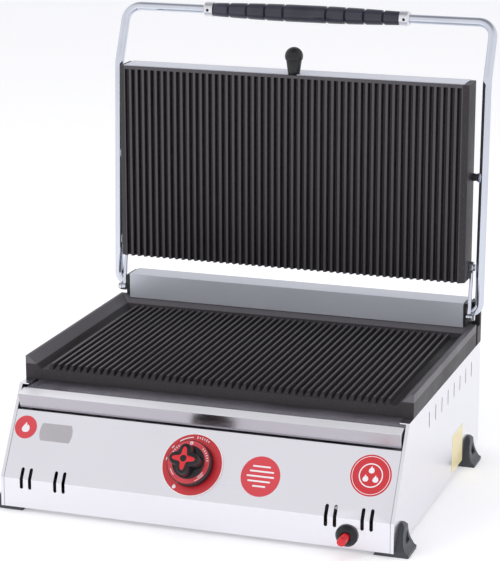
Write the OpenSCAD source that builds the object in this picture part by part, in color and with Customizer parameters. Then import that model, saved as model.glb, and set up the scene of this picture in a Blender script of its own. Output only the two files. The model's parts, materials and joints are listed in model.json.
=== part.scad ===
// Gas contact grill: a ribbed cast plate over a burner in a sheet-steel body, and a
// second ribbed plate hung in a bent-rod handle that hinges at the back.
// +Z is up, the front faces -Y, and the origin is on the floor under the middle of the
// whole object. Depths are counted from the foot line of the front panel, and place()
// moves them to the origin.

/* [Body] */
// Overall width of the body
body_w = 500; // [496:1:620]
// Depth of the body, front foot line to back panel
body_d = 427; // [400:1:520]
// Thickness of the stainless sheet
sheet = 1.2; // [0.8:0.1:1.6]
// Height of the body's lower edge above the floor
foot_h = 6; // [4:0.5:12]
// Height of the bend in the front panel
bend_z = 43; // [36:1:60]
// Height of the front panel's upper edge
panel_top_z = 117; // [105:1:128]
// Height of the side panels' upper edge
side_top_z = 145.5; // [140:0.5:180]
// Slope of the front panel above its bend, from upright
panel_lean = 31.5; // [20:0.5:36]

/* [Vents] */
// Width of a front vent slot
front_slot_w = 4.2; // [3:0.1:6]
// Height of a front vent slot
front_slot_h = 25; // [15:1:30]
// Width of a side vent slot
side_slot_w = 2.8; // [2:0.1:4]
// Height of a side vent slot
side_slot_h = 20; // [10:1:30]
// Distance between side vent slots
side_slot_pitch = 31.3; // [20:0.1:36]
// Number of side vent slots
side_slot_count = 8; // [4:1:8]

/* [Lower plate] */
// Depth from the front panel's foot line to the lower plate
plate_y = 81; // [76:1:100]
// Height of the lower casting up to its rim
plate_h = 29.9; // [26:0.1:36]
// Height of the groove floor above the casting's underside
floor_h = 14; // [8:0.5:16]
// Height of the ribs above the groove floor
rib_h = 6; // [3:0.5:8]
// Distance from rib to rib
rib_pitch = 9.05; // [7:0.05:14]
// Width of a rib at its crest
rib_crest = 3.2; // [2:0.1:5]
// Width of a rib at its foot
rib_foot = 6.4; // [4:0.1:7]

/* [Upper plate] */
// Gap between an arm of the handle and the upper plate's side
lid_gap = 8.6; // [6:0.1:12]
// Front-to-back length of the upper plate
lid_l = 259; // [220:1:270]
// Depth of the upper casting, crests to back edge
lid_t = 41; // [38:0.5:46]
// Distance from the crests to the stud axis
stud_back = 35; // [30:0.5:36]
// Distance from the stud axis down to the plate's lower edge
stud_up = 134; // [110:1:140]

/* [Handle] */
// Diameter of the bent handle rod
rod_d = 12; // [10:0.5:14]
// Distance from the body's side out to an arm's centre line
arm_out = 2.6; // [2:0.1:8]
// Height of the hinge shaft's axis
shaft_z = 191.5; // [190:0.5:196]
// Distance from the shaft to the plate studs along an arm
stud_r = 178.6; // [170:0.1:186]
// Backward lean of the open arms
arm_lean = 2.2; // [0:0.1:3]
// Distance from the shaft to the kink in an arm
kink_r = 302; // [290:1:320]
// Distance from the kink to the handle bar, across the bar
bar_rise = 78.7; // [60:0.1:100]
// Backward bend of the arms above the kink
kink_lean = 24.3; // [15:0.1:35]
// Bend radius of the rod at the shaft ends
shaft_bend_r = 13; // [12:0.5:16]
// Bend radius of the rod at the handle bar
bar_bend_r = 20; // [16:1:30]
// Length of the turned grip
grip_l = 256; // [200:1:280]
// Diameter of the grip in its middle
grip_d = 23; // [18:0.5:28]
// Diameter of the grip at its ends
grip_end_d = 18; // [16:0.5:22]

/* [Controls] */
// Sideways place of the gas knob
knob_x = -7; // [-60:1:60]
// Distance of the gas knob up the slope from the bend
knob_up = 42; // [38:0.5:46]
// Diameter of the dial plate behind the knob
dial_d = 78; // [70:1:80]
// Diameter of the knob's skirt
skirt_d = 56; // [48:1:60]
// Height of the knob's skirt
skirt_h = 12; // [8:0.5:16]
// Diameter across the knob's grip lobes
lobe_d = 38; // [30:1:42]
// Height of the whole knob
knob_h = 32; // [24:0.5:40]
// Distance from the body's side to the igniter button
igniter_side = 56.5; // [52:0.5:60]
// Height of the igniter button
igniter_z = 22.5; // [21:0.5:26]
// Diameter of the igniter's collar
collar_d = 27; // [22:0.5:28]
// Diameter of the igniter's button
button_d = 10.4; // [8:0.1:12]

/* [Gas] */
// Outer diameter of the burner tube
burner_d = 26; // [20:0.5:30]
// Outer diameter of the gas pipes
pipe_d = 8; // [6:0.5:10]
// Outer diameter of the hose tail
hose_tail_d = 9; // [8:0.1:10]

/* [Fits] */
// Radial clearance of a running fit
run_fit = 0.05; // [0.02:0.01:0.1]
// Gap between parts that must not touch
gap = 0.4; // [0.3:0.1:0.6]

/* [Hidden] */
$fn = 48;

steel = "gainsboro";
iron = "#3f3b3d";
chrome = "silver";
rubber = "#3a3c46";
brass = "#b59a4c";
red = "#d4202f";

// Body
half_w = body_w / 2;
inner_x = half_w - sheet;
flange = 4;
turn_in = 12;
lean_k = tan(panel_lean);
function slope_y(z) = lean_k * (z - bend_z);
panel_top_y = slope_y(panel_top_z);
side_top_y = slope_y(side_top_z);
shelf_d = 28;
shelf_y = body_d - shelf_d;
slope_n = [0, -cos(panel_lean), sin(panel_lean)];
slope_u = [0, sin(panel_lean), cos(panel_lean)];
panel_w = 2 * (half_w - flange - gap);

// Lower plate
plate_z = side_top_z;
rim_z = plate_z + plate_h;
floor_z = plate_z + floor_h;
crest_z = floor_z + rib_h;
rim_t = 3.4;
rim_foot = 15;
rim_slope = (rim_foot - rim_t) / (rim_z - crest_z);
plate_y2 = shelf_y;
plate_d = plate_y2 - plate_y;
rib_end = 6;
plate_hollow = floor_h - 7;

// Hinge, open position
arm_x = half_w + arm_out;
rod_r = rod_d / 2;
shaft_y = shelf_y + 0.5;
kink_bend_r = 30;
straight_d = rod_d - 0.04;
seam = 0.3;
kink_t = kink_bend_r * tan((kink_lean - arm_lean) / 2);
function on_arm(r, lean = arm_lean) = [shaft_y + r * sin(lean), shaft_z + r * cos(lean)];
stud = on_arm(stud_r);
kink = on_arm(kink_r);
bar = kink + bar_rise * [sin(kink_lean), cos(kink_lean)];
face_y = stud[0] - stud_back;
lid_z = stud[1] - stud_up;
lid_x = arm_x - rod_r - lid_gap;
lid_w = 2 * lid_x;
lid_wall = 6;
knob_on_lid_x = 4;
lid_knob_y = 8;
lid_base = 9;
stud_d = 6;
boss_d = 10;
boss_l = 4.2;
socket_d = 15;

// Links from the handle to the back edge of the upper plate
link_off = [-9.8, -4.6];
link_foot = [shaft_y, shaft_z] + link_off;
link_head = stud - [4.4, 119];
link_d = 5;
link_x = lid_x + link_d / 2 + 0.8;
link_eye_d = 12;
link_foot_d = 9.6;
link_pin_d = 5;
lug_t = 2.6;
lug_x = link_x + link_d / 2 + gap;
link_slot = 2;
link_v = link_head - link_foot;
link_l = norm(link_v);
link_a = atan2(link_v[1], link_v[0]);

// Box and brackets behind the plate
box_y = shelf_y - 9;
box_y2 = body_d - 2;
box_top_z = 205;
box_x = half_w - 16;
skirt_z = rim_z - (plate_y2 - rim_t - box_y - sheet - gap) / rim_slope;
web_t = 3.4;
web_x = box_x + gap;
bush_neck_r = rod_r + 1;
bush_r = rod_r + 2;
stop_y = shaft_y + rod_r + 1.2;

// Controls
igniter_x = half_w - igniter_side;
knob_pos = [knob_x, 0, bend_z] + knob_up * slope_u;
dial_t = 0.6;
press = 2.4;
skirt_gap = press + dial_t + gap;
plunger_d = 5;
knob_bore = 19;
spindle_d = 8;
piezo_d = 16;
collar_h = 8;
button_out = 26;
button_travel = 4;

// Gas train
burner_z = 100;
burner_y = [plate_y + 69, plate_y2 - 64];
burner_x = half_w - 65;
burner_bend = (burner_y[1] - burner_y[0]) / 2;
burner_turn_x = half_w - 28 - burner_d / 2 - burner_bend;
valve_in = 30;
valve_pos = knob_pos - valve_in * slope_n;
jet_y = 100;
neck_d = 18.5;
mix_x = knob_x;
inlet_x = half_w - 55;
inlet_z = valve_pos[2] - 4;
inlet_out = 26;

// Drip tray
tray_lip_y = 49.5;
tray_d = 74;
tray_lip_z = 118.5;
tray_lip_h = 18.5;
tray_lip_lean = 5.5;
tray_rim = 18;
tray_rim_rise = 11;
tray_w = 2 * (half_w - flange - 1.6);

// Feet
foot_l = 32;
fin_h = 34;
fin_t = 6;
fin_out = 16.5;
foot_in = 26;
foot_shift = 8;
foot_front_y = 5;
foot_rear_y = body_d - 91;
label_l = 54;
label_y = foot_rear_y - label_l - 2;

// Whole depth, for the origin
knob_reach = -(knob_pos + (skirt_gap + knob_h) * slope_n)[1] + lobe_d / 2 * sin(panel_lean);
back_reach = max(bar[0] + grip_d / 2, body_d + inlet_out);
origin_y = (back_reach - max(knob_reach, button_out)) / 2;

module place() {
  translate([0, -origin_y, 0]) children();
}

// Draws a depth-and-height outline as a slab of width w, centred on x
module slab(w, x = 0) {
  translate([x - w / 2, 0, 0]) rotate([90, 0, 90]) linear_extrude(w) children();
}

// Puts children, drawn along +Z, on the sloping panel's outward normal at point p
module on_slope(p) {
  translate(p) rotate([90 - panel_lean, 0, 0]) children();
}

module both_sides() {
  children();
  mirror([1, 0, 0]) children();
}

module rod_x(d, x1, x2, y, z) {
  translate([x1, y, z]) rotate([0, 90, 0]) cylinder(d = d, h = x2 - x1);
}

module rod_y(d, y1, y2, x, z) {
  translate([x, y1, z]) rotate([-90, 0, 0]) cylinder(d = d, h = y2 - y1);
}

function unit(v) = v / norm(v);
function right_of(v) = [v[1], -v[0]];

// A line moved to its right by t, mitred at each bend
function shifted(line, t) = [
  for (i = [0 : len(line) - 1])
    let (
      a = right_of(unit(i == 0 ? line[1] - line[0] : line[i] - line[i - 1])),
      b = i == len(line) - 1 ? a : right_of(unit(line[i + 1] - line[i])),
      n = i == 0 ? b : a
    )
    line[i] + (n + b) * t / (1 + n * b)
];

// Folded sheet: the outline of a line with thickness t on its right
module folded(line, t = sheet) {
  inside = shifted(line, t);
  polygon(concat(line, [for (i = [len(line) - 1 : -1 : 0]) inside[i]]));
}

module round_slot(w, h) {
  for (s = [-1, 1]) translate([0, s * (h - w) / 2]) circle(d = w);
  square([w, h - w], center = true);
}

// ---------- sheet-metal body ----------

front_line = [[0, foot_h], [0, bend_z], [panel_top_y, panel_top_z]];
side_line = [[0, foot_h], [0, bend_z], [side_top_y, side_top_z]];

module front_slots() {
  for (s = [-1, 1], x = [27.5, 38.5, 72, 83])
    translate([s * (half_w - x), 30, bend_z]) rotate([90, 0, 0])
      linear_extrude(60) round_slot(front_slot_w, front_slot_h);
}

module front_panel() {
  line = concat([[turn_in, foot_h]], front_line, [[panel_top_y + turn_in, panel_top_z]]);
  color(steel) place() difference() {
    slab(panel_w) folded(line);
    front_slots();
    on_slope(knob_pos) translate([0, 0, -20]) cylinder(d = spindle_d + 4, h = 40);
    rod_y(piezo_d + 0.4, -5, 10, igniter_x, igniter_z);
  }
}

module side_panel(slots) {
  difference() {
    union() {
      translate([inner_x, 0, 0]) slab(sheet, sheet / 2)
        polygon(concat(side_line, [[body_d, side_top_z], [body_d, foot_h]]));
      slab(flange, half_w - flange / 2) folded(side_line);
      translate([half_w - turn_in, side_top_y, side_top_z - sheet])
        cube([turn_in, shelf_y - side_top_y - gap, sheet]);
      translate([half_w - turn_in, turn_in + 1, foot_h])
        cube([turn_in, body_d - turn_in - 3, sheet]);
    }
    if (slots)
      for (i = [0 : side_slot_count - 1])
        translate([half_w - 5, 157 + i * side_slot_pitch, 121]) rotate([90, 0, 90])
          linear_extrude(10) round_slot(side_slot_w, side_slot_h);
  }
}

module side_panel_left() {
  color(steel) place() mirror([1, 0, 0]) side_panel(true);
}

module side_panel_right() {
  color(steel) place() side_panel(true);
}

// Back sheet; its top turns forward into the shelf that the hinge parts stand on
module rear_panel() {
  w = 2 * (inner_x - gap);
  z = foot_h + sheet + gap;
  line = [[shelf_y, side_top_z], [body_d, side_top_z], [body_d, z], [body_d - turn_in, z]];
  color(steel) place() difference() {
    slab(w) folded(line);
    for (x = [-160 : 32 : 160], z = [55, 95])
      translate([x, body_d + 5, z]) rotate([90, 0, 0])
        linear_extrude(10) round_slot(5, 26);
    rod_y(13.4, body_d - 5, body_d + 5, inlet_x, inlet_z);
  }
}

module base_pan() {
  z = foot_h + sheet;
  y1 = sheet + gap;
  y2 = body_d - turn_in - gap;
  color(steel) place() difference() {
    translate([-inner_x + gap, y1, z]) cube([2 * (inner_x - gap), y2 - y1, sheet]);
    for (x = [-150 : 50 : 150], y = [120, 200, 280])
      translate([x, y, z - 1]) cylinder(d = 16, h = 4);
  }
}

// Moulded foot: a pad under the corner and a flared fin up the side
module foot() {
  fin = [
    for (a = [0 : 15 : 90])
      [half_w + fin_t + (fin_out - fin_t) * (1 - cos(a)), fin_h - 4 - (fin_h - 8) * sin(a)]
  ];
  outline = concat(
    [[half_w - foot_in, 0], [half_w - foot_in + 3, foot_h], [half_w, foot_h],
     [half_w, fin_h], [half_w + fin_t - 3, fin_h]],
    fin, [[half_w + fin_out, 0]]
  );
  side = [
    [0, 0], [foot_l + 4, 0], [foot_l + foot_shift, 8], [foot_l + 4, fin_h - 4],
    [foot_l, fin_h], [foot_l - 8, fin_h], [foot_l - 13, fin_h - 4], [1, 7]
  ];
  difference() {
    intersection() {
      translate([0, foot_l + 20, 0]) rotate([90, 0, 0]) linear_extrude(foot_l + 40)
        polygon(outline);
      slab(60, half_w) polygon(side);
    }
    translate([half_w + fin_t, foot_shift + 11, fin_h / 2 - 6])
      cube([5, foot_l - 18, 11]);
  }
}

module foot_at(y, side) {
  color(rubber) place() mirror([side < 0 ? 1 : 0, 0, 0]) translate([0, y, 0]) foot();
}

module foot_front_left() { foot_at(foot_front_y, -1); }
module foot_front_right() { foot_at(foot_front_y, 1); }
module foot_rear_left() { foot_at(foot_rear_y, -1); }
module foot_rear_right() { foot_at(foot_rear_y, 1); }

// ---------- lower plate ----------

// Ribs as a bar of trapezoids, crest up, from x = -w/2 to w/2
module rib_row(w, shift = 0) {
  end = w / 2 - rib_foot / 2;
  n = floor((end + abs(shift)) / rib_pitch);
  for (i = [-n : n])
    if (abs(i * rib_pitch + shift) <= end)
      translate([i * rib_pitch + shift, 0]) polygon([
        [-rib_foot / 2, -1], [-rib_foot / 2, 0], [-rib_crest / 2, rib_h],
        [rib_crest / 2, rib_h], [rib_foot / 2, 0], [rib_foot / 2, -1]
      ]);
}

module lower_plate() {
  in_x = half_w - rim_foot;
  rise = rim_z - floor_z;
  draft = rise * rim_slope;
  y_in = plate_y2 - rim_t - draft;
  color(iron) place() difference() {
    union() {
      translate([-half_w, plate_y, plate_z]) cube([body_w, plate_d, floor_h]);
      both_sides() translate([0, plate_y2, 0]) rotate([90, 0, 0]) linear_extrude(plate_d)
        polygon([
          [half_w - 20, plate_z + 1], [half_w, plate_z + 1], [half_w, rim_z],
          [half_w - rim_t, rim_z], [half_w - rim_t - draft, floor_z]
        ]);
      slab(body_w) polygon([
        [plate_y2, plate_z + 1], [plate_y2, rim_z], [plate_y2 - rim_t, rim_z],
        [y_in, floor_z], [y_in, plate_z + 1]
      ]);
      intersection() {
        translate([0, y_in + 1, floor_z]) rotate([90, 0, 0])
          linear_extrude(y_in + 1 - plate_y) rib_row(2 * (half_w - rim_t - draft));
        slab(body_w) polygon([
          [plate_y + 2, floor_z - 1], [plate_y + 2, floor_z],
          [plate_y + 2 + rib_end, crest_z], [y_in + 2, crest_z], [y_in + 2, floor_z - 1]
        ]);
      }
    }
    // hollow underside that the flames play on
    translate([-half_w + 14, plate_y + 12, plate_z - 1])
      cube([body_w - 28, plate_d - 24, 1 + plate_hollow]);
  }
}

// Rails on the side panels, with legs that carry the lower plate
module plate_rails() {
  y1 = tray_lip_y + tray_d + 4.5;
  y2 = plate_y + plate_d - 40;
  x = inner_x - gap;
  color("dimgray") place() both_sides() {
    translate([x - 1.5, y1, plate_z - 40]) cube([1.5, y2 - y1, 38]);
    translate([x - 22, y1, plate_z - 42]) cube([22, y2 - y1, 2]);
    for (y = [y1 + 10, y2 - 10])
      translate([x - 17, y, plate_z - 41]) cylinder(d = 8, h = 41 + plate_hollow);
  }
}

// Angles on the side panels that the drip tray slides on
module tray_rails() {
  y = panel_top_y + turn_in + 2;
  z = tray_lip_z - gap;
  color("dimgray") place() both_sides() {
    translate([inner_x - gap - 14, y, z - 1.2]) cube([14, tray_lip_y + tray_d - y, 1.2]);
    translate([inner_x - gap - 1.2, y, z - 14]) cube([1.2, tray_lip_y + tray_d - y, 14]);
  }
}

// ---------- hinge ----------

module rear_box() {
  line = [
    [box_y, skirt_z], [box_y, box_top_z], [box_y2, box_top_z], [box_y2, side_top_z]
  ];
  color(steel) place() slab(2 * box_x) folded(line);
}

module hinge_bracket() {
  difference() {
    union() {
      slab(web_t, web_x + web_t / 2) polygon([
        [box_y - 1, rim_z + gap], [box_y - 1, box_top_z - 3], [box_y + 2, box_top_z - 1],
        [box_y2 - 4, box_top_z - 1], [box_y2 - 1, box_top_z - 4],
        [box_y2 - 1, side_top_z], [plate_y2 + 1, side_top_z],
        [plate_y2 + 1, rim_z + gap]
      ]);
      translate([web_x - 20, plate_y2 + 1, side_top_z])
        cube([22, box_y2 - sheet - gap - plate_y2 - 1, 3]);
    }
    rod_x(2 * (bush_neck_r + run_fit), web_x - 1, web_x + web_t + 1, shaft_y, shaft_z);
    translate([web_x - 11, (plate_y2 + box_y2) / 2, side_top_z - 1])
      cylinder(d = 5.2, h = 6);
  }
}

module hinge_bracket_left() {
  color(iron) place() mirror([1, 0, 0]) hinge_bracket();
}

module hinge_bracket_right() {
  color(iron) place() hinge_bracket();
}

// Cast block that the open right arm leans on
module lid_stop() {
  x1 = web_x + web_t + gap;
  top = 57.5;
  color("#26262a") place() difference() {
    translate([x1, stop_y, plate_z]) cube([half_w - x1, body_d - stop_y, top]);
    translate([x1 - 1, stop_y - 1, shaft_z - 22]) cube([half_w - x1 + 2, 14, 26]);
  }
}

module pivot_bushes() {
  color(brass) place() both_sides() difference() {
    union() {
      rod_x(2 * bush_neck_r, web_x - 2, web_x + web_t, shaft_y, shaft_z);
      rod_x(2 * bush_r, web_x - 4, web_x, shaft_y, shaft_z);
    }
    rod_x(rod_d + 2 * run_fit, web_x - 6, web_x + web_t + 1, shaft_y, shaft_z);
  }
}

// Half a bend of the rod: turns from +X towards +Y of its own frame over angle a
module bend(r, a, d) {
  rotate_extrude(angle = a) translate([r, 0]) circle(d = d);
}

// The arms, the shaft ends and the handle bar, bent from one rod
module handle_frame() {
  top_l = bar_rise - bar_bend_r;
  side = arm_x - shaft_bend_r;
  across = arm_x - bar_bend_r;
  color(chrome) place() difference() {
    union() {
      both_sides() {
        rod_x(straight_d, web_x - 30, side + seam, shaft_y, shaft_z);
        translate([0, shaft_y, shaft_z]) rotate([-arm_lean, 0, 0]) {
          translate([side, 0, shaft_bend_r]) rotate([90, 0, 0]) rotate([0, 0, -90])
            bend(shaft_bend_r, 90, rod_d);
          translate([arm_x, 0, shaft_bend_r - seam])
            cylinder(d = straight_d, h = kink_r - kink_t - shaft_bend_r + 2 * seam);
          translate([arm_x, kink_bend_r, kink_r - kink_t]) rotate([90, 0, -90])
            bend(kink_bend_r, kink_lean - arm_lean, rod_d);
        }
        translate([0, kink[0], kink[1]]) rotate([-kink_lean, 0, 0]) {
          translate([arm_x, 0, kink_t - seam])
            cylinder(d = straight_d, h = top_l - kink_t + 2 * seam);
          translate([across, 0, top_l]) rotate([90, 0, 0]) bend(bar_bend_r, 90, rod_d);
        }
      }
      rod_x(straight_d, -across - seam, across + seam, bar[0], bar[1]);
    }
    both_sides()
      rod_x(stud_d + 2 * run_fit, arm_x - rod_r - 2, arm_x + 1, stud[0], stud[1]);
  }
}

// Turned grip: a long swelling between grooved ends, threaded over the bar
module handle_grip() {
  h = grip_l / 2;
  r0 = grip_end_d / 2;
  r1 = grip_d / 2;
  steps = 8;
  swell = [for (i = [0 : steps]) let (t = i / steps) [r0 + (r1 - r0) * sin(90 * t), h * (1 - t)]];
  groove = 1.6;
  color("#34343e") place() translate([0, bar[0], bar[1]]) rotate([0, 90, 0]) difference() {
    union() {
      rotate_extrude() polygon(concat([[0, h], [r0 - 1, h]], swell, [[0, 0]]));
      mirror([0, 0, 1])
        rotate_extrude() polygon(concat([[0, h], [r0 - 1, h]], swell, [[0, 0]]));
    }
    translate([0, 0, -h - 1]) cylinder(d = rod_d + 2 * run_fit, h = grip_l + 2);
    for (s = [-1, 1], x = [0.83, 0.63, 0.43, 0.23])
      translate([0, 0, s * x * h]) rotate_extrude() translate([r1 + 0.3, 0]) circle(d = 2 * groove + 2);
  }
}

module grip_collars() {
  l = 13;
  color("lightgray") place() both_sides()
    translate([grip_l / 2 + gap, bar[0], bar[1]]) rotate([0, 90, 0]) difference() {
      union() {
        cylinder(d = grip_end_d + 2, h = l - 2);
        translate([0, 0, l - 2]) cylinder(d1 = grip_end_d + 2, d2 = grip_end_d - 2, h = 2);
      }
      translate([0, 0, -1]) cylinder(d = rod_d + 2 * run_fit, h = l + 2);
      translate([0, 0, l / 2]) rotate([90, 0, 0]) cylinder(d = 4, h = 20);
    }
}

module collar_screws() {
  color("dimgray") place() both_sides()
    translate([grip_l / 2 + gap + 6.5, bar[0], bar[1]]) rotate([90, 0, 0]) difference() {
      translate([0, 0, rod_r + run_fit]) cylinder(d = 4 - 0.1, h = 2.6);
      translate([0, 0, rod_r + 1.5]) cylinder(d = 2, h = 3, $fn = 6);
    }
}

// Flared sockets welded inside the arms, where the plate's studs turn
module stud_sockets() {
  x1 = lid_x + boss_l + gap;
  color(chrome) place() both_sides() difference() {
    translate([x1, stud[0], stud[1]]) rotate([0, 90, 0])
      cylinder(d1 = boss_d - 1, d2 = socket_d, h = arm_x - rod_r + 1.4 - x1);
    rod_x(stud_d + 2 * run_fit, x1 - 1, arm_x, stud[0], stud[1]);
  }
}

module shaft_collars() {
  x = web_x - 16;
  color("dimgray") place() both_sides() difference() {
    rod_x(rod_d + 4, x, x + 10, shaft_y, shaft_z);
    rod_x(rod_d + 2 * run_fit, x - 1, x + 11, shaft_y, shaft_z);
    translate([x + 5, shaft_y - 20, shaft_z]) rotate([-90, 0, 0]) cylinder(d = 4, h = 20);
  }
}

// Small plates welded to the shaft ends, which carry the links
module link_lugs() {
  color(chrome) place() both_sides() difference() {
    union() {
      rod_x(link_foot_d, lug_x, lug_x + lug_t, link_foot[0], link_foot[1]);
      translate([lug_x, shaft_y, shaft_z]) rotate([180 + atan2(link_off[1], link_off[0]), 0, 0])
        translate([0, -norm(link_off), -4]) cube([lug_t, norm(link_off) - 2, 8]);
    }
    rod_x(link_pin_d, lug_x - 1, lug_x + lug_t + 1, link_foot[0], link_foot[1]);
  }
}

module link_bolts() {
  x = link_x - link_d / 2;
  color("gray") place() both_sides() {
    rod_x(link_pin_d - 2 * run_fit, x - 0.3, lug_x, link_foot[0], link_foot[1]);
    rod_x(link_pin_d, lug_x, lug_x + lug_t + 1, link_foot[0], link_foot[1]);
    translate([lug_x + lug_t, link_foot[0], link_foot[1]]) rotate([0, 90, 0])
      cylinder(d = 8.8, h = 2.3, $fn = 6);
  }
}

// Tie rod: an eye on the lug's bolt and a slotted eye on the plate's stud
module link() {
  translate([link_x, link_foot[0], link_foot[1]]) rotate([link_a, 0, 0]) difference() {
    union() {
      rotate([-90, 0, 0]) cylinder(d = link_d, h = link_l - link_pin_d);
      rod_x(link_foot_d, -link_d / 2, link_d / 2, 0, 0);
      link_eye(link_eye_d, link_d);
    }
    rod_x(link_pin_d + 2 * run_fit, -link_d, link_d, 0, 0);
    link_eye(link_pin_d + 2 * gap, 2 * link_d);
  }
}

// Slotted eye of the link, or the slot in it: an oblong drawn in depth and height
module link_eye(d, w) {
  slab(w) translate([link_l, 0]) rotate(90) round_slot(d, d + 2 * link_slot);
}

module link_left() {
  color(chrome) place() translate([-2 * link_x, 0, 0]) link();
}

module link_right() {
  color(chrome) place() link();
}

// ---------- upper plate ----------

// Cast tray, ribs to the front in the open position
module upper_plate() {
  border = 9;
  edge = 4;
  bevel = 8;
  bevel_h = 4.5;
  back = rib_h + lid_base;
  color(iron) place() difference() {
    union() {
      translate([-lid_x, face_y, lid_z]) cube([lid_w, back, lid_l]);
      both_sides() {
        translate([lid_x - lid_wall, face_y, lid_z]) cube([lid_wall, lid_t, lid_l]);
        rod_x(boss_d, lid_x - 18, lid_x + boss_l, stud[0], stud[1]);
        translate([lid_x - 20, face_y + back - 1, stud[1] - 9])
          cube([15, stud_back - back - 2, 18]);
      }
      lid_pillars() cylinder(d = 12, h = lid_t - back - 1 - sheet);
    }
    // grooves between the ribs
    difference() {
      translate([-lid_x + border, face_y - 1, lid_z - 1])
        cube([lid_w - 2 * border, rib_h + 1, lid_l + 1 - edge]);
      translate([0, face_y + rib_h, lid_z - 2]) rotate([0, 0, 180])
        linear_extrude(lid_l + 4) rib_row(lid_w - 2 * border, rib_pitch / 2);
    }
    // bevels that clear the lower plate's rim
    both_sides() translate([0, 0, lid_z - 1]) linear_extrude(lid_l + 2)
      polygon([
        [lid_x - bevel, face_y], [lid_x + 1, face_y + bevel_h * (bevel + 1) / bevel],
        [lid_x + 1, face_y - 1], [lid_x - bevel, face_y - 1]
      ]);
    both_sides() rod_x(stud_d, lid_x - 12, lid_x + boss_l + 1, stud[0], stud[1]);
    both_sides()
      rod_x(link_pin_d + 2 * run_fit, lid_x - 5, lid_x + 1, link_head[0], link_head[1]);
    translate([knob_on_lid_x, face_y + lid_knob_y, lid_z + lid_l - 8]) cylinder(d = 6, h = 9);
    lid_pillars() translate([0, 0, lid_t - back - 14]) cylinder(d = 4, h = 14);
  }
}

// Six places for the cover's screws, along +Y from the back of the cast base
module lid_pillars() {
  x1 = lid_x - 34;
  for (x = [-x1, 0, x1], z = [26, lid_l - 26])
    translate([x, face_y + rib_h + lid_base, lid_z + z]) rotate([-90, 0, 0]) children();
}

// Sheet folded over the top edge, back and lower edge, between the casting's side walls
module upper_cover() {
  y1 = face_y + rib_h + lid_base + gap;
  y2 = face_y + lid_t - 1;
  z1 = lid_z + 1;
  z2 = lid_z + lid_l + sheet;
  color(steel) place() difference() {
    slab(lid_w - 2 * lid_wall - 2 * gap)
      folded([[face_y + 2.5, z2], [y2, z2], [y2, z1], [y1, z1]]);
    translate([knob_on_lid_x, face_y + lid_knob_y, lid_z + lid_l - 1])
      cylinder(d = 15 + 2 * gap, h = sheet + 2);
    lid_pillars() cylinder(d = 4.5, h = 2 * lid_t);
    both_sides() rod_x(boss_d + 2 * gap, lid_x - 19, lid_x, stud[0], stud[1]);
  }
}

module cover_screws() {
  seat = lid_t - rib_h - lid_base - 1;
  color("gray") place() lid_pillars() {
    translate([0, 0, seat - 10]) cylinder(d = 3.9, h = 10.5);
    difference() {
      translate([0, 0, seat]) cylinder(d = 8, h = 2.4);
      translate([-3, -0.5, seat + 1.2]) cube([6, 1, 2]);
    }
  }
}

module plate_studs() {
  color("gray") place() both_sides()
    rod_x(stud_d, lid_x - 11, arm_x - 1, stud[0], stud[1]);
}

module link_studs() {
  head = link_x + link_d / 2 + gap;
  color("gray") place() both_sides() {
    rod_x(link_pin_d, lid_x - 4, head + 1, link_head[0], link_head[1]);
    rod_x(link_pin_d + 4, head, head + 1.6, link_head[0], link_head[1]);
  }
}

// Knob for tilting the plate: a ball on a cone that narrows towards the plate
module lid_knob() {
  r = 12;
  h = 36;
  color("#1c1c20") place()
    translate([knob_on_lid_x, face_y + lid_knob_y, lid_z + lid_l]) {
      cylinder(d1 = 15, d2 = 21, h = h - r - 5);
      translate([0, 0, h - r]) sphere(r = r);
      translate([0, 0, -7]) cylinder(d = 5.8, h = 8);
    }
}

// ---------- gas train ----------

// U-shaped drilled tube under the plate
module burner() {
  yc = (burner_y[0] + burner_y[1]) / 2;
  wall = 1.5;
  color("#8a8078") place() difference() {
    union() {
      for (y = burner_y) rod_x(burner_d, -burner_x, burner_turn_x, y, burner_z);
      translate([burner_turn_x, yc, burner_z]) rotate([0, 0, -90])
        bend(burner_bend, 180, burner_d);
    }
    for (y = burner_y)
      rod_x(burner_d - 2 * wall, -burner_x + wall, burner_turn_x - 0.5, y, burner_z);
    for (y = burner_y, s = [-1, 1], i = [0 : 11])
      translate([-burner_x + 20 + i * 24, y, burner_z]) rotate([s * 35, 0, 0])
        cylinder(d = 2.4, h = burner_d);
    translate([mix_x, burner_y[0] - 5, burner_z]) rotate([90, 0, 0])
      cylinder(d = neck_d + 2 * run_fit, h = burner_d);
  }
}

module burner_supports() {
  top = burner_z - burner_d / 2 - 0.3;
  z = foot_h + 2 * sheet;
  color("dimgray") place() for (x = [-130, 100], y = burner_y) {
    translate([x - 1, y - 14, z]) cube([2, 28, top - z]);
    translate([x - 8, y - 14, top - 1.5]) cube([16, 28, 1.5]);
    translate([x - 8, y - 14, z]) cube([16, 28, 1.5]);
  }
}

// Mixing tube: bell mouth round the jet, throat, and a neck into the burner
module mixing_tube() {
  y2 = burner_y[0] - burner_d / 2 + 1.8;
  color("#8a8078") place() translate([mix_x, jet_y + 4, burner_z]) rotate([-90, 0, 0])
    difference() {
      union() {
        cylinder(d = 26, h = 8);
        cylinder(d = neck_d, h = y2 - jet_y - 4);
      }
      translate([0, 0, -1]) cylinder(d = 14.5, h = 60);
      translate([0, 0, -1]) cylinder(d1 = 23, d2 = 14.5, h = 8);
    }
}

module air_shutter() {
  color(steel) place() translate([mix_x, jet_y + 2.4, burner_z]) rotate([-90, 0, 0])
    difference() {
      cylinder(d = 27, h = 1.2);
      translate([0, 0, -1]) cylinder(d = 9, h = 4);
      for (a = [0 : 90 : 270]) rotate(a + 45) translate([8.5, 0, -1]) cylinder(d = 6, h = 4);
    }
}

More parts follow.
